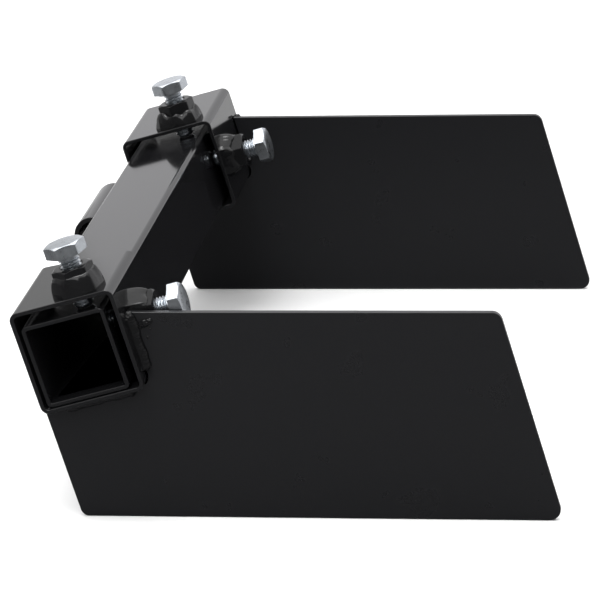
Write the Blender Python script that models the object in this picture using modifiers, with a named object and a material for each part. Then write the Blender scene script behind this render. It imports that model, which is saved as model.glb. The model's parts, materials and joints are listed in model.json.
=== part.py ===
"""Clamp-on guide frame: a square crossbar carries two sliding collars, each with a welded side plate
and two clamping screws; a short round tube is welded to the middle of the bar.

Axes: +X runs along the side plates, +Y along the crossbar, +Z is up. The plates stand on Z = 0.
"""
import bpy
import bmesh
from math import acos, cos, pi, radians, sin, tan
from mathutils import Matrix, Vector

# Driving dimensions, in metres and degrees -------------------------------------------------------
GAP = 0.0003                 # clearance kept between pieces that touch

TILT = 15.0                  # collars, screws and plate ends lean this far from upright
TUBE_WALL = 0.002
COLLAR_CORNER = 0.004        # outer corner radius
BAR_CORNER = 0.0025

OVERALL_LENGTH = 0.340       # between the outer ends of the two collars
COLLAR_WIDTH = 0.050
COLLAR_LENGTH = 0.066
COLLAR_SKEW = 11.0           # the front collar's inner end is sawn off square by this angle
BAR_WIDTH = 0.040
BAR_RECESS = 0.001           # bar end behind the collar's outer end
BAR_LEFT = 0.0018            # the screws push the bar this far left of the collars' axis
BAR_DROP = 0.0027            # and this far down, onto the collars' lower walls

PLATE_THICKNESS = 0.003
PLATE_LENGTH = 0.2218
PLATE_TOP = 0.0162           # above the collar's axis
PLATE_BOTTOM = -0.0835       # below the collar's axis
PLATE_OVERHANG = 0.0012      # plate edge proud of the collar's left face
PLATE_SETBACK = 0.009        # plate face behind the collar's outer end
PLATE_CORNER = 0.005
PLATE_HEEL_CORNER = 0.004    # the lower corner under the collar

HEX_FLATS = 0.017            # M10 hexagon
HEX_CHAMFER_ANGLE = 28.0     # of the turned-off corners
HEX_CHAMFER_INSET = 0.0004   # flat rim's edge inside the hexagon's flats
NUT_HEIGHT = 0.012
NUT_BORE = 0.00515
HEAD_HEIGHT = 0.0064
SHANK_RADIUS = 0.00485
SHANK_LENGTH = 0.025
HOLE_RADIUS = 0.0053         # hole in the collar's wall under each nut
TOP_SCREW_OFFSET = 0.008     # from the middle of the collar's top face, towards the plate
TIP_CHAMFER = 0.0008

PIVOT_RADIUS = 0.010
PIVOT_BORE = 0.0075
PIVOT_RAISE = 0.0032         # tube's axis above the middle of the bar's left face
PIVOT_LENGTH = 0.060
PIVOT_FRONT = 0.193          # from the front end of the frame to the tube's front end

WELD_LEG = 0.004
WELD_FULLNESS = 1.4          # 1 gives a bead with a round face, 2 a flat one
SIDE_WELD_RUN = (-0.019, 0.009)     # up the collar's right face, from its axis
LOWER_WELD_RUN = (-0.017, 0.018)    # across the collar's underside, from its axis
NUT_WELD_WIDTH = 0.0032
NUT_WELD_HEIGHT = 0.0035
PIVOT_WELD_SETBACK = 0.004   # bare tube at each end of its beads
PIVOT_WELD_START = 28.0      # the groove's bead spans these angles round the tube's axis
PIVOT_WELD_END = 58.0
CUT_MARGIN = 0.001           # a cutter reaches this far past the faces it goes through

FRONT = -OVERALL_LENGTH / 2
REAR = OVERALL_LENGTH / 2
REAR_COLLAR_FRONT = REAR - COLLAR_LENGTH

# Screws: station along the bar, offset across the face, turn of the nut and of the head in degrees,
# and how far from the collar's axis the screw's tip rests on the bar.
SCREWS = {
    "front_top": ("top", FRONT + 0.0105, TOP_SCREW_OFFSET, 20.0, 16.0, 0.0176),
    "front_side": ("side", FRONT + 0.0215, 0.0045, 0.0, 0.0, 0.0186),
    "rear_top": ("top", REAR_COLLAR_FRONT + 0.0105, TOP_SCREW_OFFSET, 20.0, 19.0, 0.0176),
    "rear_side": ("side", REAR_COLLAR_FRONT + 0.011, 0.001, 8.0, 7.0, 0.0186),
}

# Colours: name -> (base colour, metallic, roughness)
POWDER_BLACK = ((0.012, 0.012, 0.014, 1.0), 0.0, 0.22)
PLATE_BLACK = ((0.014, 0.014, 0.015, 1.0), 0.0, 0.30)
WELD_BLACK = ((0.010, 0.010, 0.011, 1.0), 0.0, 0.18)
ZINC = ((0.62, 0.65, 0.68, 1.0), 1.0, 0.28)

ARC_STEPS = 5
ROUND_SIDES = 32
MERGE_DISTANCE = 0.00001
AXIS_HEIGHT = -PLATE_BOTTOM


def tilted(u, w):
    """World X and Z, from the collar's axis, of a point u across and w up in the collar's section."""
    lean = radians(TILT)
    return (u * cos(lean) - w * sin(lean), u * sin(lean) + w * cos(lean))


BAR_X, BAR_Z = tilted(-BAR_LEFT, -BAR_DROP)
PIVOT_OFFSET = BAR_WIDTH / 2 + PIVOT_RADIUS + GAP

# The frame's left extreme is the round tube and its right extreme the plate's rounded lower corner.
LEFT_EXTREME = tilted(-BAR_LEFT - PIVOT_OFFSET, PIVOT_RAISE - BAR_DROP)[0] - PIVOT_RADIUS
PLATE_LEAN = radians(TILT)
PLATE_LEFT = (-(COLLAR_WIDTH / 2 + PLATE_OVERHANG) - PLATE_BOTTOM * sin(PLATE_LEAN)) / cos(PLATE_LEAN)
CORNER_LOSS = PLATE_CORNER * ((1 + sin(PLATE_LEAN)) / cos(PLATE_LEAN) - 1)
RIGHT_EXTREME = PLATE_LEFT + PLATE_LENGTH - CORNER_LOSS
AXIS_X = -(LEFT_EXTREME + RIGHT_EXTREME) / 2


# Scene helpers -----------------------------------------------------------------------------------
def clear_scene():
    for old in list(bpy.data.objects):
        bpy.data.objects.remove(old, do_unlink=True)


def collection(name):
    made = bpy.data.collections.new(name)
    bpy.context.scene.collection.children.link(made)
    return made


def material(name, recipe):
    colour, metallic, roughness = recipe
    made = bpy.data.materials.new(name)
    made.use_nodes = True
    shader = made.node_tree.nodes["Principled BSDF"]
    shader.inputs["Base Color"].default_value = colour
    shader.inputs["Metallic"].default_value = metallic
    shader.inputs["Roughness"].default_value = roughness
    made.diffuse_color = colour
    return made


def empty(name, location, lean):
    made = bpy.data.objects.new(name, None)
    made.location = location
    made.rotation_euler = (0, -radians(lean), 0)
    made.empty_display_size = 0.02
    parts.objects.link(made)
    return made


def add_part(name, mesh, parent, recipe, smooth_angle=35.0):
    part = bpy.data.objects.new(name, mesh)
    part.parent = parent
    mesh.materials.clear()
    mesh.materials.append(material(name + "_finish", recipe))
    mesh.shade_smooth()
    mesh.set_sharp_from_angle(angle=radians(smooth_angle))
    parts.objects.link(part)
    return part


def add_cutter(name, mesh, parent=None):
    cutter = bpy.data.objects.new(name, mesh)
    cutter.parent = parent
    cutter.hide_render = True
    cutter.display_type = "WIRE"
    cutters.objects.link(cutter)
    return cutter


def boolean(target, cutter, operation):
    step = target.modifiers.new(cutter.name, "BOOLEAN")
    step.operation = operation
    step.object = cutter


# Mesh makers -------------------------------------------------------------------------------------
def mesh_from(name, build):
    work = bmesh.new()
    build(work)
    made = bpy.data.meshes.new(name)
    work.to_mesh(made)
    work.free()
    return made


def prism(name, sides, radius, bottom, top, turn=0.0):
    """Upright prism or cylinder along local Z from bottom to top; turn is measured from local X."""
    def build(work):
        # The primitive's first corner is on local Y.
        spin = Matrix.Rotation(radians(turn - 90), 4, "Z")
        place = Matrix.Translation((0, 0, (bottom + top) / 2)) @ spin
        bmesh.ops.create_cone(work, cap_ends=True, segments=sides, radius1=radius, radius2=radius,
                              depth=top - bottom, matrix=place)
    return mesh_from(name, build)


def block(name, low, high):
    def build(work):
        size = Vector(high) - Vector(low)
        middle = (Vector(high) + Vector(low)) / 2
        place = Matrix.Translation(middle) @ Matrix.Diagonal((*size, 1))
        bmesh.ops.create_cube(work, size=1.0, matrix=place)
    return mesh_from(name, build)


def turned(name, profile):
    """A Screw of a closed (radius, height) profile that runs down its outer side."""
    def build(work):
        ring = [work.verts.new((r, 0, z)) for r, z in profile]
        for here, there in zip(ring, ring[1:] + ring[:1]):
            work.edges.new((here, there))
    holder = bpy.data.objects.new(name, mesh_from(name, build))
    cutters.objects.link(holder)
    screw = holder.modifiers.new("turn", "SCREW")
    screw.steps = ROUND_SIDES
    screw.render_steps = ROUND_SIDES
    screw.use_merge_vertices = True
    screw.merge_threshold = MERGE_DISTANCE
    return evaluated_mesh(holder)


def evaluated_mesh(holder):
    """The evaluated mesh of a working object, welded and turned outwards; the object is removed."""
    view = holder.evaluated_get(bpy.context.evaluated_depsgraph_get())
    mesh = bpy.data.meshes.new_from_object(view)
    bpy.data.objects.remove(holder, do_unlink=True)
    work = bmesh.new()
    work.from_mesh(mesh)
    bmesh.ops.remove_doubles(work, verts=work.verts, dist=MERGE_DISTANCE)
    bmesh.ops.recalc_face_normals(work, faces=work.faces)
    work.to_mesh(mesh)
    work.free()
    return mesh


def flat(name, outlines, front, back):
    """Outlines drawn in X and Z, filled (an inner one is a hole) and extruded from front to back in Y."""
    curve = bpy.data.curves.new(name, "CURVE")
    curve.dimensions = "2D"
    curve.fill_mode = "BOTH"
    curve.extrude = (back - front) / 2
    for outline in outlines:
        spline = curve.splines.new("POLY")
        spline.points.add(len(outline) - 1)
        spline.use_cyclic_u = True
        for point, (x, z) in zip(spline.points, outline):
            point.co = (x, z, 0, 1)
    holder = bpy.data.objects.new(name, curve)
    cutters.objects.link(holder)
    mesh = evaluated_mesh(holder)
    mesh.transform(Matrix.Translation((0, (front + back) / 2, 0)) @ Matrix.Rotation(pi / 2, 4, "X"))
    return mesh


def rounded_polygon(corners):
    """Outline through (x, z, radius) corners, each rounded by an arc tangent to both its edges."""
    points = []
    count = len(corners)
    for i, (x, z, radius) in enumerate(corners):
        corner = Vector((x, z))
        if radius == 0:
            points.append((x, z))
            continue
        before = (Vector(corners[i - 1][:2]) - corner).normalized()
        after = (Vector(corners[(i + 1) % count][:2]) - corner).normalized()
        half = acos(before.dot(after)) / 2
        centre = corner + (before + after).normalized() * radius / sin(half)
        start = corner + before * radius / tan(half) - centre
        end = corner + after * radius / tan(half) - centre
        sweep = start.angle_signed(end)
        for k in range(ARC_STEPS + 1):
            spoke = start.copy()
            spoke.rotate(Matrix.Rotation(-sweep * k / ARC_STEPS, 2))
            points.append(tuple(centre + spoke))
    return points


def square_outline(width, radius):
    half = width / 2
    return rounded_polygon([(half, half, radius), (-half, half, radius),
                            (-half, -half, radius), (half, -half, radius)])


def square_tube(name, width, corner, front, back):
    outer = square_outline(width, corner)
    inner = square_outline(width - 2 * TUBE_WALL, corner - TUBE_WALL)
    return flat(name, [outer, inner], front, back)


# Crossbar and its round tube ---------------------------------------------------------------------
def crossbar():
    mesh = square_tube("crossbar", BAR_WIDTH, BAR_CORNER, FRONT + BAR_RECESS, REAR - BAR_RECESS)
    add_part("crossbar", mesh, bar_axis, POWDER_BLACK)


def ring_outline(radius):
    return [(radius * cos(2 * pi * k / ROUND_SIDES), radius * sin(2 * pi * k / ROUND_SIDES))
            for k in range(ROUND_SIDES)]


def pivot_tube():
    front = FRONT + PIVOT_FRONT
    outlines = [ring_outline(PIVOT_RADIUS), ring_outline(PIVOT_BORE)]
    mesh = flat("pivot_tube", outlines, front, front + PIVOT_LENGTH)
    tube = add_part("pivot_tube", mesh, bar_axis, POWDER_BLACK)
    tube.location = (-PIVOT_OFFSET, 0, PIVOT_RAISE)


def pivot_weld(name, side):
    """Bead in the groove between the round tube and the bar's left face; side is 1 above, -1 below."""
    reach = PIVOT_RADIUS + GAP
    low = radians(PIVOT_WELD_START)
    high = radians(PIVOT_WELD_END)
    arc = [low + (high - low) * k / ARC_STEPS for k in range(ARC_STEPS + 1)]
    on_tube = [(reach * cos(a), side * reach * sin(a)) for a in arc]
    on_bar = [(PIVOT_RADIUS, side * reach * sin(high)), (PIVOT_RADIUS, side * reach * sin(low))]
    front = FRONT + PIVOT_FRONT + PIVOT_WELD_SETBACK
    mesh = flat(name, [on_tube + on_bar], front, front + PIVOT_LENGTH - 2 * PIVOT_WELD_SETBACK)
    bead = add_part(name, mesh, bar_axis, WELD_BLACK)
    bead.location = (-PIVOT_OFFSET, 0, PIVOT_RAISE)


# Collars and side plates -------------------------------------------------------------------------
def collar(name, front, screw_names):
    mesh = square_tube(name, COLLAR_WIDTH, COLLAR_CORNER, front, front + COLLAR_LENGTH)
    part = add_part(name, mesh, collar_axis, POWDER_BLACK)
    face = COLLAR_WIDTH / 2
    for screw_name in screw_names:
        hole_name = screw_name + "_hole"
        hole = prism(hole_name, ROUND_SIDES, HOLE_RADIUS, face - TUBE_WALL - CUT_MARGIN, face + CUT_MARGIN)
        cutter = add_cutter(hole_name, hole, collar_axis)
        set_on_face(cutter, screw_name)
        boolean(part, cutter, "DIFFERENCE")
    return part


def skew_front_collar(part):
    """Saw the inner end at a slight angle, so the side next to the plate is the shorter."""
    reach = COLLAR_WIDTH
    saw = block("skew_cut", (-reach, 0, -reach), (2 * reach, reach, reach))
    cutter = add_cutter("skew_cut", saw, collar_axis)
    cutter.location = (-COLLAR_WIDTH / 2, FRONT + COLLAR_LENGTH, 0)
    cutter.rotation_euler = (0, 0, -radians(COLLAR_SKEW))
    boolean(part, cutter, "DIFFERENCE")


def plate_outline():
    """Leaning parallelogram with a notch around the collar's right and lower faces."""
    notch = COLLAR_WIDTH / 2 + GAP
    height = PLATE_TOP - PLATE_BOTTOM
    right = PLATE_LEFT + PLATE_LENGTH
    top_left = (notch - PLATE_TOP * sin(PLATE_LEAN)) / cos(PLATE_LEAN)
    heel = tilted(-(COLLAR_WIDTH / 2 + PLATE_OVERHANG), -notch)
    inner = tilted(notch, -notch)
    return rounded_polygon([(top_left, PLATE_TOP, 0),
                            (right - height * tan(PLATE_LEAN), PLATE_TOP, PLATE_CORNER),
                            (right, PLATE_BOTTOM, PLATE_CORNER),
                            (PLATE_LEFT, PLATE_BOTTOM, PLATE_HEEL_CORNER),
                            (*heel, 0),
                            (*inner, COLLAR_CORNER + GAP)])


def side_plate(name, front):
    mesh = flat(name, [plate_outline()], front, front + PLATE_THICKNESS)
    add_part(name, mesh, plate_axis, PLATE_BLACK)


def fillet_outline():
    """Weld section in the corner between two faces, as distances along each."""
    arc = [pi / 2 * k / ARC_STEPS for k in range(ARC_STEPS + 1)]
    face = [(WELD_LEG * cos(a) ** WELD_FULLNESS, WELD_LEG * sin(a) ** WELD_FULLNESS) for a in arc]
    return [(0.0, 0.0)] + face


def plate_weld(name, plate_face, outward, run, swing):
    """Bead in the corner of the plate's outer face and the collar. It runs up the collar's right face,
    or across its underside when it is swung by 90 degrees."""
    corner_x = COLLAR_WIDTH / 2 + GAP
    corner_y = plate_face + outward * GAP
    section = [(corner_x + away, -(corner_y + outward * out)) for away, out in fillet_outline()]
    bead = add_part(name, flat(name, [section], *run), collar_axis, WELD_BLACK)
    bead.rotation_euler = (pi / 2, radians(swing), 0)


# Nuts and screws ---------------------------------------------------------------------------------
def set_on_face(part, screw_name, along=0.0):
    """Stand a piece made along local Z on its screw's line, pointing out of the collar."""
    face, station, offset = SCREWS[screw_name][:3]
    if face == "top":
        part.location = (offset, station, along)
    else:
        part.location = (along, station, offset)
        part.rotation_euler = (0, pi / 2, 0)


def hexagon(name, height, turn):
    """Hexagonal prism, and the turned shape that takes its upper corners off."""
    corner = HEX_FLATS / 2 / cos(pi / 6)
    outside = corner + CUT_MARGIN
    rim = HEX_FLATS / 2 - HEX_CHAMFER_INSET
    drop = (outside - rim) * tan(radians(HEX_CHAMFER_ANGLE))
    profile = [(0.0, height), (rim, height), (outside, height - drop),
               (outside, -CUT_MARGIN), (0.0, -CUT_MARGIN)]
    return prism(name, 6, corner, 0, height, turn), turned(name + "_chamfer", profile)


def nut(screw_name):
    name = screw_name + "_nut"
    mesh, chamfer = hexagon(name, NUT_HEIGHT, SCREWS[screw_name][3])
    part = add_part(name, mesh, collar_axis, POWDER_BLACK, 25.0)
    bore = prism(name + "_bore", ROUND_SIDES, NUT_BORE, -CUT_MARGIN, NUT_HEIGHT + CUT_MARGIN)
    boolean(part, add_cutter(name + "_chamfer", chamfer, part), "INTERSECT")
    boolean(part, add_cutter(name + "_bore", bore, part), "DIFFERENCE")
    set_on_face(part, screw_name, COLLAR_WIDTH / 2 + GAP)


def nut_weld(screw_name, end):
    """Ring bead round the nut's foot, cut off where the collar ends or the plate stands, at Y = end."""
    name = screw_name + "_nut_weld"
    inner = HEX_FLATS / 2 / cos(pi / 6) + GAP
    arc = [pi / 2 * k / ARC_STEPS for k in range(ARC_STEPS + 1)]
    face = [(inner + NUT_WELD_WIDTH * sin(a) ** WELD_FULLNESS, NUT_WELD_HEIGHT * cos(a) ** WELD_FULLNESS)
            for a in arc]
    part = add_part(name, turned(name, face + [(inner, 0.0)]), collar_axis, WELD_BLACK)
    reach = HEX_FLATS
    cut = end + GAP - SCREWS[screw_name][1]
    saw = block(name + "_saw", (-reach, -reach, -reach), (reach, cut, reach))
    boolean(part, add_cutter(name + "_saw", saw, part), "DIFFERENCE")
    set_on_face(part, screw_name, COLLAR_WIDTH / 2 + GAP)


def screw(screw_name):
    """Hexagon screw, made with its tip at local Z = 0 so the piece's origin is where it bears."""
    name = screw_name + "_screw"
    turn, tip = SCREWS[screw_name][4:]
    mesh, chamfer = hexagon(name, HEAD_HEIGHT, turn)
    for shape in (mesh, chamfer):
        shape.transform(Matrix.Translation((0, 0, SHANK_LENGTH)))
    part = add_part(name, mesh, collar_axis, ZINC, 25.0)
    boolean(part, add_cutter(name + "_chamfer", chamfer, part), "INTERSECT")
    inside_head = SHANK_LENGTH + HEAD_HEIGHT / 2
    profile = [(0.0, inside_head), (SHANK_RADIUS, inside_head), (SHANK_RADIUS, TIP_CHAMFER),
               (SHANK_RADIUS - TIP_CHAMFER, 0.0), (0.0, 0.0)]
    shank = turned(name + "_shank", profile)
    boolean(part, add_cutter(name + "_shank", shank, part), "UNION")
    set_on_face(part, screw_name, tip)


# Assembly ----------------------------------------------------------------------------------------
clear_scene()
parts = collection("clamp_on_side_plate_frame")
cutters = collection("cutters")

collar_axis = empty("collar_axis", (AXIS_X, 0, AXIS_HEIGHT), TILT)
plate_axis = empty("plate_axis", (AXIS_X, 0, AXIS_HEIGHT), 0.0)
bar_axis = empty("bar_axis", (AXIS_X + BAR_X, 0, AXIS_HEIGHT + BAR_Z), TILT)

crossbar()
pivot_tube()
pivot_weld("pivot_weld_upper", 1)
pivot_weld("pivot_weld_lower", -1)

skew_front_collar(collar("front_collar", FRONT, ("front_top", "front_side")))
collar("rear_collar", REAR_COLLAR_FRONT, ("rear_top", "rear_side"))
side_plate("front_plate", FRONT + PLATE_SETBACK)
side_plate("rear_plate", REAR - PLATE_SETBACK - PLATE_THICKNESS)
for end, plate_face, outward in (("front", FRONT + PLATE_SETBACK, -1), ("rear", REAR - PLATE_SETBACK, 1)):
    plate_weld(end + "_plate_side_weld", plate_face, outward, SIDE_WELD_RUN, 0)
    plate_weld(end + "_plate_lower_weld", plate_face, outward, LOWER_WELD_RUN, 90)

for screw_name in SCREWS:
    nut(screw_name)
    screw(screw_name)
nut_weld("front_top", FRONT)
nut_weld("front_side", FRONT + PLATE_SETBACK + PLATE_THICKNESS)
nut_weld("rear_top", REAR_COLLAR_FRONT)
nut_weld("rear_side", REAR_COLLAR_FRONT)
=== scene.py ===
import json
from math import acos, cos, pi, radians, sin, tan

import bmesh
import bpy
import numpy as np
from mathutils import Matrix, Vector, noise

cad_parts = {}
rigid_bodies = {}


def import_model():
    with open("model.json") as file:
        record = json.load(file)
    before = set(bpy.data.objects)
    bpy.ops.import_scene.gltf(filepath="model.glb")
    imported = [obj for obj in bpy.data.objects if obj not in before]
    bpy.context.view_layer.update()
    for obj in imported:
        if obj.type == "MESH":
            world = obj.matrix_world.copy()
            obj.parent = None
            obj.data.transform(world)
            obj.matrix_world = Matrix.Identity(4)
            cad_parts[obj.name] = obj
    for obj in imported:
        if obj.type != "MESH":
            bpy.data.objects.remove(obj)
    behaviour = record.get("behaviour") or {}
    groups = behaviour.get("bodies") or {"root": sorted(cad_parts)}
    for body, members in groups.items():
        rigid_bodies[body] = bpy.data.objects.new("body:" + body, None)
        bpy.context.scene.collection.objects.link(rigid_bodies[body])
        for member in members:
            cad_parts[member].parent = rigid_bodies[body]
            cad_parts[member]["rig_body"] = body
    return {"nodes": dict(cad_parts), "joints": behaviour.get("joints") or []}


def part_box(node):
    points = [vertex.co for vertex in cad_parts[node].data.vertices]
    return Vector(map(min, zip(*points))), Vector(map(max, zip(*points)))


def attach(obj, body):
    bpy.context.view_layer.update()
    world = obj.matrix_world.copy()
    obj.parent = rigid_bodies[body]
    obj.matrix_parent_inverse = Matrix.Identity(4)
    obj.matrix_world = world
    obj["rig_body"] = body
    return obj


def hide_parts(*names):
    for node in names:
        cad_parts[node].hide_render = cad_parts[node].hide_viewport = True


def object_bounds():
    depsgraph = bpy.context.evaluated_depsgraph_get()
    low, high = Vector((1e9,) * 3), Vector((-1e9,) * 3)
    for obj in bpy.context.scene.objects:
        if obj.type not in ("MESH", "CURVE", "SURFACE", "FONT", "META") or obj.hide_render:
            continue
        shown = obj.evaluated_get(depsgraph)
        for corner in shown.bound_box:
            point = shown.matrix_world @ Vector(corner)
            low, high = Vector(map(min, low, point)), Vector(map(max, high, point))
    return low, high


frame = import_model()
CAD_LOW, CAD_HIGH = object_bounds()

# Looks of the adjustable side-plate frame: powder-coated square tubes, plates and nuts with their weld
# beads, and zinc-plated screws with real threads. Lengths are in metres. The tubes, nuts, screws and beads
# are made in the leaning axes of the collars or the bar (X to the right, Y along the bar, Z up), which come
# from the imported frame.

MM = 0.001

# Square tubes and plates
TUBE_WALL = 2.0 * MM
COLLAR_CORNER = 4.0 * MM
BAR_CORNER = 2.5 * MM
TUBE_EASE = 0.45 * MM          # rounding of a cut end under its coat
COLLAR_SKEW = radians(11.0)    # the front collar's inner end is sawn askew
HOLE_RADIUS = 5.3 * MM         # the holes under the nuts
HOLE_FROM = 15.0 * MM          # the cutter's ends, measured from the collar's axis
HOLE_TO = 27.0 * MM
PLATE_CORNER = 5.0 * MM
PLATE_HEEL_CORNER = 4.0 * MM
PLATE_OVERHANG = 1.2 * MM
PLATE_EASE = 0.4 * MM
PIVOT_BORE = 7.5 * MM
GAP = 0.3 * MM

# Nuts and screws, M10
HEX_FLATS = 17.0 * MM
HEX_SOFTNESS = 44              # higher is a sharper hexagon
HEX_CHAMFER = radians(28.0)
HEX_RIM = 8.1 * MM             # radius of the flat inside the chamfer
NUT_BORE = 4.98 * MM
NUT_SINK = 5.8 * MM            # radius of the countersink at the top of the bore
NUT_FOOT_EASE = 0.3 * MM
THREAD_RADIUS = 4.85 * MM
THREAD_DEPTH = 0.9 * MM
THREAD_PITCH = 1.5 * MM
THREAD_STEPS = 12              # rings to one pitch
THREAD_CREST = 0.125           # flat share of the pitch at the crest; twice this at the root
THREAD_FADE = 1.0 * MM         # the thread runs out over this length
THREAD_END = 1.2 * MM          # and ends this far under the head
TIP_RADIUS = 3.2 * MM
NECK_FILLET = 0.35 * MM
WASHER_RADIUS = 7.9 * MM
WASHER_HEIGHT = 0.35 * MM
HEAD_HEIGHT = 6.4 * MM
DOME_HEIGHT = 0.25 * MM
NUT_TURN = {"front_top": 20.0, "front_side": 0.0, "rear_top": 20.0, "rear_side": 8.0}
HEAD_TURN = {"front_top": 16.0, "front_side": 0.0, "rear_top": 19.0, "rear_side": 7.0}

# Resolution of the curved surfaces
CORNER_STEPS = 12
EASE_STEPS = 4
ROUND_SIDES = 96
SIDE_SAMPLES = 14              # points to one side of a hexagon

Y_AXIS = Vector((0, 1, 0))
JOINT_AXIS = {joint["name"]: Vector(joint["axis"]) for joint in frame["joints"]}
COLLAR_RIGHT = JOINT_AXIS["rear_side_screw_travel"]


# Places ------------------------------------------------------------------------------------------
def section_axes(cad_node):
    """Matrix from the leaning axes to the frame, centred on the middle of a node's box in X and Z."""
    low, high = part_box(cad_node)
    centre = (low + high) / 2
    place = Matrix((COLLAR_RIGHT, Y_AXIS, COLLAR_RIGHT.cross(Y_AXIS))).transposed().to_4x4()
    place.translation = (centre.x, 0, centre.z)
    return place


def own_box(cad_node, place):
    """Lowest and highest corner of a CAD node in the axes of place."""
    back = place.inverted()
    points = np.array([back @ v.co for v in frame["nodes"][cad_node].data.vertices])
    return Vector(points.min(axis=0)), Vector(points.max(axis=0))


COLLAR_AXES = section_axes("rear_collar")
BAR_AXES = section_axes("crossbar")


def face_axes(screw_name):
    """Axes of a nut, its bead and its screw: through the nut's middle, Z out of the collar's face."""
    low, high = own_box(screw_name + "_nut", COLLAR_AXES)
    middle = (low + high) / 2
    if screw_name.endswith("top"):
        return COLLAR_AXES @ Matrix.Translation((middle.x, middle.y, 0))
    return COLLAR_AXES @ Matrix.Translation((0, middle.y, middle.z)) @ Matrix.Rotation(pi / 2, 4, "Y")


# Materials ---------------------------------------------------------------------------------------
SPECK_LIFT = 1.35              # how much lighter the specks in the powder coat are
ZINC_DARK = (0.46, 0.49, 0.52)
ZINC_LIGHT = (0.62, 0.65, 0.69)
ZINC_ROUGHNESS = (0.20, 0.38)


def node(tree, kind, **values):
    """New shader node; each value goes to the input of that name, or to the property if there is none."""
    made = tree.nodes.new(kind)
    for key, value in values.items():
        if key in made.inputs:
            made.inputs[key].default_value = value
        else:
            setattr(made, key, value)
    return made


def coat(name, colour, roughness, spread, specular, peel, peel_size):
    """Black powder coat: gloss that varies a little in slow waves, over a fine orange peel."""
    made = bpy.data.materials.new(name)
    made.use_nodes = True
    tree = made.node_tree
    shader = tree.nodes["Principled BSDF"]
    shader.inputs["Specular IOR Level"].default_value = specular
    place = tree.nodes.new("ShaderNodeTexCoord")
    fine = node(tree, "ShaderNodeTexNoise", Scale=1 / peel_size, Detail=2.0, Roughness=0.45)
    slow = node(tree, "ShaderNodeTexNoise", Scale=45.0, Detail=3.0, Roughness=0.5)
    specks = node(tree, "ShaderNodeTexNoise", Scale=2400.0, Detail=1.0, Roughness=0.4)
    for texture in (fine, slow, specks):
        tree.links.new(place.outputs["Object"], texture.inputs["Vector"])
    gloss = node(tree, "ShaderNodeMapRange")
    gloss.inputs["To Min"].default_value = roughness - spread
    gloss.inputs["To Max"].default_value = roughness + spread
    tree.links.new(slow.outputs["Fac"], gloss.inputs["Value"])
    tree.links.new(gloss.outputs["Result"], shader.inputs["Roughness"])
    shade = node(tree, "ShaderNodeValToRGB")
    shade.color_ramp.elements[0].position = 0.35
    shade.color_ramp.elements[0].color = (*colour, 1)
    shade.color_ramp.elements[1].position = 0.85
    shade.color_ramp.elements[1].color = (*[c * SPECK_LIFT for c in colour], 1)
    tree.links.new(specks.outputs["Fac"], shade.inputs["Fac"])
    tree.links.new(shade.outputs["Color"], shader.inputs["Base Color"])
    ripple = node(tree, "ShaderNodeBump", Strength=1.0, Distance=peel)
    tree.links.new(fine.outputs["Fac"], ripple.inputs["Height"])
    tree.links.new(ripple.outputs["Normal"], shader.inputs["Normal"])
    return made


def zinc(name):
    """Bright zinc: slightly blue metal with cloudy gloss and a fine grain."""
    made = bpy.data.materials.new(name)
    made.use_nodes = True
    tree = made.node_tree
    shader = tree.nodes["Principled BSDF"]
    shader.inputs["Metallic"].default_value = 1.0
    place = tree.nodes.new("ShaderNodeTexCoord")
    cloud = node(tree, "ShaderNodeTexNoise", Scale=260.0, Detail=4.0, Roughness=0.6)
    grain = node(tree, "ShaderNodeTexNoise", Scale=1500.0, Detail=2.0, Roughness=0.5)
    for texture in (cloud, grain):
        tree.links.new(place.outputs["Object"], texture.inputs["Vector"])
    gloss = node(tree, "ShaderNodeMapRange")
    gloss.inputs["To Min"].default_value = ZINC_ROUGHNESS[0]
    gloss.inputs["To Max"].default_value = ZINC_ROUGHNESS[1]
    tree.links.new(cloud.outputs["Fac"], gloss.inputs["Value"])
    tree.links.new(gloss.outputs["Result"], shader.inputs["Roughness"])
    shade = node(tree, "ShaderNodeValToRGB")
    shade.color_ramp.elements[0].position = 0.3
    shade.color_ramp.elements[0].color = (*ZINC_DARK, 1)
    shade.color_ramp.elements[1].position = 0.7
    shade.color_ramp.elements[1].color = (*ZINC_LIGHT, 1)
    tree.links.new(cloud.outputs["Fac"], shade.inputs["Fac"])
    tree.links.new(shade.outputs["Color"], shader.inputs["Base Color"])
    ripple = node(tree, "ShaderNodeBump", Strength=0.6, Distance=0.02 * MM)
    tree.links.new(grain.outputs["Fac"], ripple.inputs["Height"])
    tree.links.new(ripple.outputs["Normal"], shader.inputs["Normal"])
    return made


COATS = {
    # colour, roughness, its spread, specular level, depth and size of the orange peel
    "tube_powder_coat": ((0.0060, 0.0060, 0.0066), 0.10, 0.02, 0.40, 0.005 * MM, 1.6 * MM),
    "plate_powder_coat": ((0.0088, 0.0089, 0.0100), 0.28, 0.02, 0.34, 0.006 * MM, 1.3 * MM),
    # the weld coat is the black coat made darker and less shiny than on the tubes: painted shade for beads
    # that sit in shade
    "weld_powder_coat": ((0.0050, 0.0050, 0.0054), 0.13, 0.03, 0.30, 0.008 * MM, 0.9 * MM),
    # the nut coat is the tube coat made darker, rougher and less shiny: painted shade for nuts that get
    # little light from above
    "nut_coat_painted_shade": ((0.0055, 0.0055, 0.0060), 0.22, 0.04, 0.20, 0.008 * MM, 1.1 * MM),
}
MATERIALS = {name: coat(name, *look) for name, look in COATS.items()}
MATERIALS["zinc_screw"] = zinc("zinc_screw")


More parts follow.
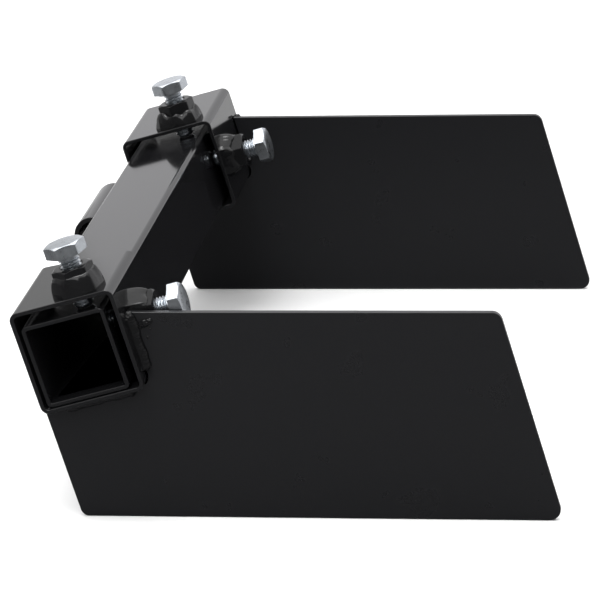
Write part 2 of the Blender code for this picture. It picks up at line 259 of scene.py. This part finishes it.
# Mesh makers -------------------------------------------------------------------------------------
def skin(name, rings, loop=False, caps=False):
    """Mesh through closed rings of as many points each.

    loop joins the last ring to the first; caps fill the first and the last.
    """
    rings = np.asarray(rings, float)
    count, around = rings.shape[:2]
    faces = []
    for i in range(count if loop else count - 1):
        here = i * around
        there = (i + 1) % count * around
        for j in range(around):
            k = (j + 1) % around
            faces.append((here + j, here + k, there + k, there + j))
    if caps:
        faces.append(tuple(range(around)))
        faces.append(tuple(range((count - 1) * around, count * around)))
    mesh = bpy.data.meshes.new(name)
    mesh.from_pydata(rings.reshape(-1, 3).tolist(), [], faces)
    return outwards(mesh)


def outwards(mesh):
    """The mesh with all its normals turned outwards."""
    work = bmesh.new()
    work.from_mesh(mesh)
    bmesh.ops.recalc_face_normals(work, faces=work.faces)
    work.to_mesh(mesh)
    work.free()
    return mesh


def join(name, meshes):
    """One mesh of several."""
    work = bmesh.new()
    for mesh in meshes:
        work.from_mesh(mesh)
    made = bpy.data.meshes.new(name)
    work.to_mesh(made)
    work.free()
    return made


def add_piece(cad_node, mesh, place, slot, sharp=35.0, finish=None):
    """The detailed piece that stands for a CAD node, on that node's body.

    place takes the mesh to the frame. Edges over sharp degrees stay hard. finish is the material where it
    isn't the slot's own.
    """
    mesh.transform(place)
    piece = bpy.data.objects.new(cad_node + "_detail", mesh)
    bpy.context.scene.collection.objects.link(piece)
    mesh.materials.append(MATERIALS[finish or slot])
    mesh.shade_smooth()
    mesh.set_sharp_from_angle(angle=radians(sharp))
    weighted = piece.modifiers.new("flat_faces_stay_flat", "WEIGHTED_NORMAL")
    weighted.keep_sharp = True
    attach(piece, frame["nodes"][cad_node]["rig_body"])
    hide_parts(cad_node)
    return piece


def quarter(steps):
    """Angles from 0 to 90 degrees."""
    return [pi / 2 * k / steps for k in range(steps + 1)]


def wall_profile(front, rear, wall, ease):
    """Closed (depth into the wall, Y) profile of a tube's wall, with both ends' edges rounded."""
    turn = quarter(EASE_STEPS)
    return ([(ease * (1 - cos(a)), rear - ease * (1 - sin(a))) for a in turn]
            + [(wall - ease * (1 - sin(a)), rear - ease * (1 - cos(a))) for a in turn]
            + [(wall - ease * (1 - cos(a)), front + ease * (1 - sin(a))) for a in turn]
            + [(ease * (1 - sin(a)), front + ease * (1 - cos(a))) for a in turn])


def rounded_square(half, radius):
    points = []
    for quadrant, (right, up) in enumerate(((1, 1), (-1, 1), (-1, -1), (1, -1))):
        for a in quarter(CORNER_STEPS):
            angle = a + quadrant * pi / 2
            points.append((right * (half - radius) + radius * cos(angle),
                           up * (half - radius) + radius * sin(angle)))
    return points


def circle(radius):
    return [(radius * cos(2 * pi * k / ROUND_SIDES), radius * sin(2 * pi * k / ROUND_SIDES))
            for k in range(ROUND_SIDES)]


def square_tube(name, half, corner, front, rear, skew=0.0):
    """Square tube along Y. skew saws its rear end off at an angle, shorter on the right."""
    rings = []
    for depth, y in wall_profile(front, rear, TUBE_WALL, TUBE_EASE):
        slope = tan(skew) if y > (front + rear) / 2 else 0.0
        outline = rounded_square(half - depth, corner - depth)
        rings.append([(x, y - (x + half) * slope, z) for x, z in outline])
    return skin(name, rings, loop=True)


def round_tube(name, radius, bore, front, rear):
    rings = [[(x, y, z) for x, z in circle(radius - depth)]
             for depth, y in wall_profile(front, rear, radius - bore, TUBE_EASE)]
    return skin(name, rings, loop=True)


def drill(mesh, places):
    """Cut the holes under the nuts: a round cutter at each of places, along their Z."""
    holder = bpy.data.objects.new("drilled", mesh)
    bpy.context.scene.collection.objects.link(holder)
    drills = []
    for place in places:
        rings = [[(x, y, z) for x, y in circle(HOLE_RADIUS)] for z in (HOLE_FROM, HOLE_TO)]
        cutter = bpy.data.objects.new("drill", skin("drill", rings, caps=True))
        bpy.context.scene.collection.objects.link(cutter)
        cutter.matrix_world = place
        cut = holder.modifiers.new("hole", "BOOLEAN")
        cut.operation = "DIFFERENCE"
        cut.object = cutter
        drills.append(cutter)
    bpy.context.view_layer.update()
    depsgraph = bpy.context.evaluated_depsgraph_get()
    done = bpy.data.meshes.new_from_object(holder.evaluated_get(depsgraph))
    for used in (holder, *drills):
        bpy.data.objects.remove(used, do_unlink=True)
    return done


# Tubes -------------------------------------------------------------------------------------------
def crossbar():
    low, high = own_box("crossbar", BAR_AXES)
    mesh = square_tube("crossbar", high.x, BAR_CORNER, low.y, high.y)
    add_piece("crossbar", mesh, BAR_AXES, "tube_powder_coat")


def collar(end, skew):
    cad_node = end + "_collar"
    low, high = own_box(cad_node, COLLAR_AXES)
    mesh = square_tube(cad_node, high.x, COLLAR_CORNER, low.y, high.y, skew)
    nut_places = [COLLAR_AXES.inverted() @ face_axes(f"{end}_{face}") for face in ("top", "side")]
    add_piece(cad_node, drill(mesh, nut_places), COLLAR_AXES, "tube_powder_coat")


def pivot_tube():
    low, high = own_box("pivot_tube", BAR_AXES)
    middle = (low + high) / 2
    mesh = round_tube("pivot_tube", (high.x - low.x) / 2, PIVOT_BORE, low.y, high.y)
    place = BAR_AXES @ Matrix.Translation((middle.x, 0, middle.z))
    add_piece("pivot_tube", mesh, place, "tube_powder_coat")


# Plates ------------------------------------------------------------------------------------------
def rounded_outline(corners):
    """Outline through (x, z, radius) corners, each rounded by an arc tangent to both its edges."""
    points = []
    for i, (x, z, radius) in enumerate(corners):
        corner = Vector((x, z))
        before = (Vector(corners[i - 1][:2]) - corner).normalized()
        after = (Vector(corners[(i + 1) % len(corners)][:2]) - corner).normalized()
        half = acos(before.dot(after)) / 2
        centre = corner + (before + after).normalized() * radius / sin(half)
        start = corner + before * radius / tan(half) - centre
        sweep = start.angle_signed(corner + after * radius / tan(half) - centre)
        for k in range(CORNER_STEPS + 1):
            spoke = start.copy()
            spoke.rotate(Matrix.Rotation(-sweep * k / CORNER_STEPS, 2))
            points.append(centre + spoke)
    return points


def inset(points, depth):
    """The outline moved inwards by depth, corner by corner."""
    moved = []
    for i, here in enumerate(points):
        into = (here - points[i - 1]).normalized()
        out = (points[(i + 1) % len(points)] - here).normalized()
        normal_in = Vector((into.y, -into.x))
        normal_out = Vector((out.y, -out.x))
        bisector = (normal_in + normal_out) / 2
        moved.append(here + bisector * depth / bisector.length_squared)
    return moved


def plate_outline(cad_node):
    """Leaning parallelogram, notched round the collar's right and lower faces, in world X and Z."""
    low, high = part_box(cad_node)
    half = own_box("rear_collar", COLLAR_AXES)[1].x
    lean = COLLAR_RIGHT.angle(Vector((1, 0, 0)))
    slope = tan(lean)
    axis = COLLAR_AXES.translation
    notch = half + GAP

    def world(u, w):
        point = COLLAR_AXES @ Vector((u, 0, w))
        return point.x, point.z

    top_left = axis.x + (notch - (high.z - axis.z) * sin(lean)) / cos(lean)
    left = axis.x + (-(half + PLATE_OVERHANG) + (axis.z - low.z) * sin(lean)) / cos(lean)
    right = high.x + PLATE_CORNER * ((1 + sin(lean)) / cos(lean) - 1)
    edge = PLATE_EASE
    return rounded_outline([(top_left, high.z, edge),
                            (right - (high.z - low.z) * slope, high.z, PLATE_CORNER),
                            (right, low.z, PLATE_CORNER),
                            (left, low.z, PLATE_HEEL_CORNER),
                            (*world(-(half + PLATE_OVERHANG), -notch), edge),
                            (*world(notch, -notch), COLLAR_CORNER + GAP)])


def side_plate(end):
    cad_node = end + "_plate"
    low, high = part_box(cad_node)
    outline = plate_outline(cad_node)
    turn = quarter(EASE_STEPS)
    rounding = ([(PLATE_EASE * (1 - sin(a)), low.y + PLATE_EASE * (1 - cos(a))) for a in turn]
                + [(PLATE_EASE * (1 - cos(a)), high.y - PLATE_EASE * (1 - sin(a))) for a in turn])
    rings = [[(p.x, y, p.y) for p in inset(outline, depth)] for depth, y in rounding]
    add_piece(cad_node, skin(cad_node, rings, caps=True), Matrix.Identity(4), "plate_powder_coat")


# Weld beads --------------------------------------------------------------------------------------
BEAD_STEP = 0.25 * MM
BEAD_SECTION = 10              # points across a bead's face
RIPPLE_PITCH = 1.7 * MM
RIPPLE_BOW = 1.2 * MM          # how far a ripple's middle runs ahead of its ends
BEAD_SINK = 0.15 * MM          # a bead's foot reaches this far into what it joins
BEAD_SHARP = 60.0              # only the edges of a bead's foot stay hard
PLATE_BEAD_LEGS = (4.0 * MM, 3.4 * MM)
GROOVE_FROM = radians(26)      # where a pivot bead starts on the round tube


def scallop(along, across):
    """Height from 0 to 1 of the overlapping scales of a bead; across is 0 to 1 over its face."""
    phase = (along + RIPPLE_BOW * sin(pi * across)) / RIPPLE_PITCH
    return 1 - (phase % 1.0) ** 2


def wander(seed, along, size):
    """Smooth noise from -1 to 1 along a bead."""
    return noise.noise(Vector((along / size, seed, 0.37)))


def bead_face(leg_a, leg_b, along, seed):
    """Points (a, b) of a fillet's face, from the end of its first leg to the end of its second."""
    points = []
    for k in range(BEAD_SECTION + 1):
        across = k / BEAD_SECTION
        angle = across * pi / 2
        lumps = noise.noise(Vector((along / (2.6 * MM), across * 2.2, seed)))
        swell = 1 + (0.045 * scallop(along, across) + 0.05 * lumps) * sin(pi * across) ** 0.6
        points.append((leg_a * cos(angle) * swell, leg_b * sin(angle) * swell))
    return points


def straight_bead(name, length, leg_a, leg_b, seed):
    """Fillet bead along +Y from the origin, in the corner between the planes X = 0 and Z = 0."""
    count = int(length / BEAD_STEP)
    rings = []
    for i in range(count + 1):
        along = i * length / count
        taper = min(1.0, along / (2.2 * MM), (length - along) / (2.2 * MM))
        taper = max(0.08, taper * (2 - taper)) ** 0.6
        a = leg_a * taper * (1 + 0.18 * wander(seed, along, 5 * MM))
        b = leg_b * taper * (1 + 0.18 * wander(seed + 5, along, 5 * MM))
        face = bead_face(a, b, along, seed)
        foot = [(-BEAD_SINK, face[-1][1]), (-BEAD_SINK, -BEAD_SINK), (face[0][0], -BEAD_SINK)]
        rings.append([(x, along, z) for x, z in face + foot])
    return skin(name, rings, caps=True)


def blob(centre, size, seed):
    """A rounded lump of spatter, flattened on the face it sits on and uneven."""
    work = bmesh.new()
    bmesh.ops.create_icosphere(work, subdivisions=4, radius=1.0)
    for vert in work.verts:
        shift = Vector((seed, 0, 0))
        uneven = 1 + 0.24 * noise.noise(vert.co * 1.5 + shift) + 0.12 * noise.noise(vert.co * 4.0 + shift)
        vert.co = Vector(c * s for c, s in zip(vert.co * uneven, size)) + Vector(centre)
    made = bpy.data.meshes.new("blob")
    work.to_mesh(made)
    work.free()
    return made


def swung(mesh, *turns):
    """The mesh after each of the turns, with its normals outwards."""
    for turn in turns:
        mesh.transform(turn)
    return outwards(mesh)


def plate_beads(end, outward):
    """The two beads that hold a plate to its collar: up the right face, and across the underside."""
    half = own_box("rear_collar", COLLAR_AXES)[1].x
    plate_low, plate_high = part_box(end + "_plate")
    face_y = plate_low.y if outward < 0 else plate_high.y
    for part, turn in (("side", 0.0), ("lower", pi / 2)):
        cad_node = f"{end}_plate_{part}_weld"
        low, high = own_box(cad_node, COLLAR_AXES)
        run = high.z - low.z if part == "side" else high.x - low.x
        start = low.z if part == "side" else low.x
        # Made along Y with X away from the collar and Z off the plate, then stood up and swung into place.
        bead = straight_bead(cad_node, run, *PLATE_BEAD_LEGS, 3.1 + turn + outward)
        upright = Matrix(((1, 0, 0, half), (0, 0, outward, face_y), (0, 1, 0, start), (0, 0, 0, 1)))
        lumps = [swung(bead, upright, Matrix.Rotation(turn, 4, "Y"))]
        if part == "side":
            lumps += side_spatter(half, face_y, outward, high.z)
        add_piece(cad_node, join(cad_node, lumps), COLLAR_AXES, "weld_powder_coat", BEAD_SHARP)


def side_spatter(half, face_y, outward, top):
    """The lump where the side bead starts, a tack beside it on the plate, and a few small balls."""
    # right of the collar's face, off the plate, below the bead's top; then the lump's three radii
    lumps = [((1.6, 1.0, 1.0), (2.4, 2.2, 2.4)),
             ((6.6, 0.0, 6.2), (3.4, 1.5, 1.9)),
             ((9.0, 0.0, 5.6), (1.9, 1.1, 1.2)),
             ((4.2, 0.0, 7.0), (1.7, 1.2, 1.3)),
             ((6.4, 0.0, 13.0), (0.6, 0.5, 0.6)),
             ((8.7, 0.0, 9.4), (0.5, 0.4, 0.5))]
    made = []
    for i, ((right, off, below), radii) in enumerate(lumps):
        centre = (half + right * MM, face_y + outward * off * MM, top - below * MM)
        made.append(outwards(blob(centre, [radius * MM for radius in radii], 2.3 * i)))
    return made


def pivot_bead(cad_node, side):
    """Bead in the groove between the round tube and the bar's left face."""
    low, high = own_box(cad_node, BAR_AXES)
    tube_low, tube_high = own_box("pivot_tube", BAR_AXES)
    radius = (tube_high.x - tube_low.x) / 2
    centre = (tube_low + tube_high) / 2
    bar_face = own_box("crossbar", BAR_AXES)[0].x
    span = high.y - low.y
    count = int(span / BEAD_STEP)
    rings = []
    for i in range(count + 1):
        along = i * span / count
        taper = min(1.0, along / (2.0 * MM), (span - along) / (2.0 * MM))
        taper = max(0.1, taper * (2 - taper)) ** 0.5
        spread = radians(28 + 32 * taper * (1 + 0.10 * wander(side * 4, along, 4 * MM)))
        on_tube = [GROOVE_FROM + (spread - GROOVE_FROM) * k / 5 for k in range(6)]
        sunk = radius - BEAD_SINK
        inner = [(centre.x + sunk * cos(a), sunk * sin(a)) for a in on_tube]
        tube_end = Vector(inner[-1])
        bar_end = Vector((bar_face + BEAD_SINK, radius * sin(spread) * 1.04))
        outer = []
        for k in range(1, BEAD_SECTION):
            across = k / BEAD_SECTION
            lift = (0.55 * MM + 0.30 * MM * scallop(along, across)) * sin(pi * across) * taper
            point = tube_end.lerp(bar_end, across)
            outer.append((point.x, point.y + lift))
        section = inner + outer + [tuple(bar_end), (bar_face + BEAD_SINK, inner[0][1])]
        rings.append([(x, low.y + along, centre.z + side * z) for x, z in section])
    add_piece(cad_node, skin(cad_node, rings, caps=True), BAR_AXES, "weld_powder_coat", BEAD_SHARP)


# Nuts, their beads and the screws ----------------------------------------------------------------
def hex_angles(turn):
    """Angles round a hexagon, closer together near its corners, starting at a corner."""
    angles = []
    for side in range(6):
        for k in range(SIDE_SAMPLES):
            t = -1 + 2 * k / SIDE_SAMPLES
            angles.append(radians(turn + 30 + 60 * side + 30 * sin(t * pi / 2)))
    return angles


def hex_radius(angle, turn):
    """Radius of a hexagon with slightly rounded corners; turn is the angle of a corner."""
    total = 0.0
    for side in range(6):
        facing = cos(angle - radians(turn + 30 + 60 * side))
        if facing > 0:
            total += facing ** HEX_SOFTNESS
    return HEX_FLATS / 2 / total ** (1 / HEX_SOFTNESS)


def ring(angles, radius, height):
    """Closed ring; radius and height are numbers or functions of the angle."""
    points = []
    for angle in angles:
        r = radius(angle) if callable(radius) else radius
        z = height(angle) if callable(height) else height
        points.append((r * cos(angle), r * sin(angle), z))
    return points


def hex_shell(angles, turn, bottom, top):
    """Rings of a hexagon's side from its lower edge, up the flats and over the turned chamfer."""
    def across(angle):
        return hex_radius(angle, turn)

    def shoulder(angle):
        return top - (across(angle) - HEX_RIM) * tan(HEX_CHAMFER)

    edge = 0.15 * MM
    return [ring(angles, lambda a: across(a) - 2 * edge, bottom),
            ring(angles, lambda a: across(a) - edge / 2, bottom + edge / 2),
            ring(angles, across, bottom + 2 * edge),
            ring(angles, across, lambda a: shoulder(a) - edge),
            ring(angles, lambda a: across(a) - edge / 2, lambda a: shoulder(a) + edge / 8),
            ring(angles, HEX_RIM + edge, top - edge * tan(HEX_CHAMFER)),
            ring(angles, HEX_RIM - edge, top)]


def nut(screw_name):
    cad_node = screw_name + "_nut"
    place = face_axes(screw_name)
    low, high = own_box(cad_node, place)
    turn = NUT_TURN[screw_name]
    angles = hex_angles(turn)
    rings = hex_shell(angles, turn, low.z, high.z)
    rings += [ring(angles, NUT_SINK, high.z),
              ring(angles, NUT_BORE, high.z - (NUT_SINK - NUT_BORE)),
              ring(angles, NUT_BORE, low.z + NUT_FOOT_EASE),
              ring(angles, NUT_BORE + NUT_FOOT_EASE, low.z)]
    add_piece(cad_node, skin(cad_node, rings, loop=True), place, "tube_powder_coat", 40.0, "nut_coat_painted_shade")


FAR = 1.0
NUT_BEADS = (
    # screw, limit, foot, height, uneven, bulge angle, bulge, seed; lengths in millimetres
    ("front_top", 10.3, 2.6, 9.2, 0.07, 190, 0.4, 1.7),
    ("front_side", 9.4, 2.8, 9.6, 0.12, 90, 0.8, 4.2),
    ("rear_top", 10.3, 2.4, 6.8, 0.30, 200, 2.2, 7.9),
    ("rear_side", 10.8, 2.8, 7.0, 0.30, 90, 1.4, 11.3),
)


def room_to(limit, angle):
    """Distance from the nut's axis to the line Y = -limit, or FAR if this angle leads away from it."""
    return limit / -sin(angle) if sin(angle) < 0 else FAR


def nut_bead(screw_name, limit, foot, height, uneven, bulge_angle, bulge, seed):
    """Fat uneven fillet round a nut's foot, wider towards bulge_angle and ending at Y = -limit."""
    cad_node = screw_name + "_nut_weld"
    place = face_axes(screw_name)
    low = own_box(cad_node, place)[0]
    turn = NUT_TURN[screw_name]
    base = low.z - GAP - BEAD_SINK
    around = 2 * pi * HEX_FLATS / 2
    count = int(around / BEAD_STEP)
    rings = []
    for i in range(count):
        angle = 2 * pi * i / count
        circle_seed = Vector((2.0 * cos(angle), 2.0 * sin(angle), seed))
        inner = hex_radius(angle, turn)
        towards = max(0.0, cos(angle - radians(bulge_angle))) ** 2
        leg = foot * (1 + uneven * noise.noise(circle_seed)) + bulge * towards
        leg = max(0.15 * MM, min(leg, room_to(limit, angle) - inner))
        rise = height * (1 + uneven * noise.noise(circle_seed * 1.3)) + 0.5 * bulge * towards
        along = angle / (2 * pi) * round(around / RIPPLE_PITCH) * RIPPLE_PITCH
        points = []
        for k in range(BEAD_SECTION + 1):
            across = k / BEAD_SECTION
            lumps = noise.noise(Vector((4.5 * cos(angle), 4.5 * sin(angle), across * 2 + seed)))
            swell = 1 + uneven * (0.15 * scallop(along, across) + 0.35 * lumps) * sin(pi * across) ** 0.6
            out = min(inner + leg * cos(across * pi / 2) ** 1.2 * swell, room_to(limit, angle))
            points.append((out, base + rise * sin(across * pi / 2) ** 1.2))
        points += [(inner - 0.5 * MM, points[-1][1]), (inner - 0.5 * MM, base)]
        rings.append([(r * cos(angle), r * sin(angle), z) for r, z in points])
    add_piece(cad_node, skin(cad_node, rings, loop=True), place, "weld_powder_coat", BEAD_SHARP)


def thread_radius(angle, height):
    """V thread with a flat crest and root, as a helix up the screw."""
    phase = (height / THREAD_PITCH - angle / (2 * pi)) % 1.0
    flank = (abs(2 * phase - 1) - THREAD_CREST) / (1 - 3 * THREAD_CREST)
    return THREAD_RADIUS - THREAD_DEPTH * min(1.0, max(0.0, flank))


def screw(screw_name):
    """Full-thread hexagon screw: chamfered tip, helical thread, washer face and domed head."""
    cad_node = screw_name + "_screw"
    place = face_axes(screw_name)
    low, high = own_box(cad_node, place)
    turn = HEAD_TURN[screw_name]
    angles = hex_angles(turn)
    under = high.z - HEAD_HEIGHT
    thread_top = under - THREAD_END
    steps = int((thread_top - low.z) / THREAD_PITCH * THREAD_STEPS)
    rings = [ring(angles, TIP_RADIUS, low.z)]
    for k in range(1, steps + 1):
        height = low.z + k * (thread_top - low.z) / steps
        cone = TIP_RADIUS + 0.2 * MM + (height - low.z)

        def radius(angle, height=height, cone=cone):
            fade = min(1.0, (thread_top - height) / THREAD_FADE)
            return min(cone, THREAD_RADIUS - (THREAD_RADIUS - thread_radius(angle, height)) * fade)

        rings.append(ring(angles, radius, height))
    rings += [ring(angles, THREAD_RADIUS, under - NECK_FILLET),
              ring(angles, THREAD_RADIUS + NECK_FILLET, under),
              ring(angles, WASHER_RADIUS - 0.2 * MM, under),
              ring(angles, WASHER_RADIUS, under + 0.12 * MM),
              ring(angles, WASHER_RADIUS, under + WASHER_HEIGHT)]
    rings += hex_shell(angles, turn, under + WASHER_HEIGHT, high.z - DOME_HEIGHT)
    rings += [ring(angles, 6.0 * MM, high.z - 0.12 * MM),
              ring(angles, 3.0 * MM, high.z - 0.03 * MM),
              ring(angles, 0.6 * MM, high.z)]
    add_piece(cad_node, skin(cad_node, rings, caps=True), place, "zinc_screw", 32.0)


# Studio ------------------------------------------------------------------------------------------
LENS = 180.0
SENSOR = 36.0
AZIMUTH = radians(8.432)
ELEVATION = radians(19.17)
ROLL = radians(-2.776)
DISTANCE = 1.5086
AIM = Vector((-0.0097, 0.0, 0.0490))
FLOOR_REACH = 6.0
FLOOR_DEPTH = 0.02
FLOOR_SHADE = 0.90
CARD_REACH = 4.0
CARD_EDGE = 0.155              # the dark card ends in front of the rear plate
WORLD_FRONT = 0.20             # strength on the side that faces the object's front
WORLD_BEHIND = 0.62
WORLD_FRONT_END = -0.9         # between these two, as a direction's Y, the strength rises
WORLD_BEHIND_START = 0.6


def camera():
    back = Vector((sin(AZIMUTH) * cos(ELEVATION), -cos(AZIMUTH) * cos(ELEVATION), sin(ELEVATION)))
    lens = bpy.data.cameras.new("camera")
    lens.lens = LENS
    lens.sensor_width = SENSOR
    lens.clip_start = 0.01
    lens.clip_end = 50.0
    holder = bpy.data.objects.new("camera", lens)
    bpy.context.scene.collection.objects.link(holder)
    turned = (-back).to_track_quat("-Z", "Y").to_matrix().to_4x4() @ Matrix.Rotation(ROLL, 4, "Z")
    holder.matrix_world = Matrix.Translation(AIM + back * DISTANCE) @ turned
    bpy.context.scene.camera = holder


def matt(name, shade, roughness):
    """Plain grey paint or paper without any shine."""
    made = bpy.data.materials.new(name)
    made.use_nodes = True
    shader = made.node_tree.nodes["Principled BSDF"]
    shader.inputs["Base Color"].default_value = (shade, shade, shade, 1)
    shader.inputs["Roughness"].default_value = roughness
    shader.inputs["Specular IOR Level"].default_value = 0.0
    return made


def sheet(left, right, front, rear, height):
    """Corners of a level rectangle."""
    return [(left, front, height), (right, front, height), (right, rear, height), (left, rear, height)]


def floor():
    rings = [sheet(-FLOOR_REACH, FLOOR_REACH, -FLOOR_REACH, FLOOR_REACH, z) for z in (0, -FLOOR_DEPTH)]
    mesh = skin("floor", rings, caps=True)
    mesh.materials.append(matt("floor", FLOOR_SHADE, 0.9))
    made = bpy.data.objects.new("floor", mesh)
    made.location.z = CAD_LOW.z - 0.0002
    bpy.context.scene.collection.objects.link(made)


def card(name, front, rear, shade):
    """Card on the floor from front to rear in Y that only reflections see, as a studio's flag would be."""
    mesh = bpy.data.meshes.new(name)
    corners = sheet(-CARD_REACH, CARD_REACH, front, rear, CAD_LOW.z - 0.0001)
    mesh.from_pydata(corners, [], [(0, 1, 2, 3)])
    mesh.materials.append(matt(name, shade, 1.0))
    made = bpy.data.objects.new(name, mesh)
    bpy.context.scene.collection.objects.link(made)
    made.visible_camera = False
    made.visible_diffuse = False
    made.visible_shadow = False


def world():
    """Soft studio: bright behind the object, dimmer on the side that faces its front."""
    made = bpy.data.worlds.new("studio")
    bpy.context.scene.world = made
    made.use_nodes = True
    tree = made.node_tree
    background = tree.nodes["Background"]
    background.inputs["Color"].default_value = (1.0, 1.0, 1.0, 1)
    place = tree.nodes.new("ShaderNodeTexCoord")
    split = tree.nodes.new("ShaderNodeSeparateXYZ")
    tree.links.new(place.outputs["Generated"], split.inputs["Vector"])
    level = tree.nodes.new("ShaderNodeMapRange")
    level.interpolation_type = "SMOOTHSTEP"
    level.inputs["From Min"].default_value = WORLD_FRONT_END
    level.inputs["From Max"].default_value = WORLD_BEHIND_START
    level.inputs["To Min"].default_value = WORLD_FRONT
    level.inputs["To Max"].default_value = WORLD_BEHIND
    tree.links.new(split.outputs["Y"], level.inputs["Value"])
    tree.links.new(level.outputs["Result"], background.inputs["Strength"])


def softbox(name, location, target, size, power, colour=(1, 1, 1)):
    """Rectangular area light that the camera doesn't see."""
    light = bpy.data.lights.new(name, "AREA")
    light.shape = "RECTANGLE"
    light.size, light.size_y = size
    light.energy = power
    light.color = colour
    holder = bpy.data.objects.new(name, light)
    bpy.context.scene.collection.objects.link(holder)
    holder.visible_camera = False
    holder.location = location
    holder.rotation_mode = "QUATERNION"
    holder.rotation_quaternion = (Vector(target) - Vector(location)).to_track_quat("-Z", "Y")


# Assembly ----------------------------------------------------------------------------------------
crossbar()
pivot_tube()
pivot_bead("pivot_weld_upper", 1)
pivot_bead("pivot_weld_lower", -1)
collar("front", COLLAR_SKEW)
collar("rear", 0.0)
for end, outward in (("front", -1), ("rear", 1)):
    side_plate(end)
    plate_beads(end, outward)
for screw_name in NUT_TURN:
    nut(screw_name)
    screw(screw_name)
for screw_name, limit, foot, height, uneven, bulge_angle, bulge, seed in NUT_BEADS:
    nut_bead(screw_name, limit * MM, foot * MM, height * MM, uneven, bulge_angle, bulge * MM, seed)

floor()
card("dark_card", -CARD_REACH, CARD_EDGE, 0.10)
card("grey_card", CARD_EDGE, CARD_REACH, 0.50)
world()
softbox("key", (-0.2, 0.2, 3.0), (-0.2, 0.2, 0.0), (6.0, 6.0), 180.0)
softbox("fill", (-0.4, -2.2, 1.9), AIM, (1.6, 1.2), 20.0)
softbox("spark", (-0.3, -0.5, 2.4), AIM, (0.9, 0.9), 24.0)
softbox("backdrop", (0.385, 1.2, 0.75), (0.385, 0.0, 0.75), (1.9, 1.6), 3.2, (0.95, 0.94, 1.0))
camera()
bpy.context.scene.view_settings.view_transform = "Standard"
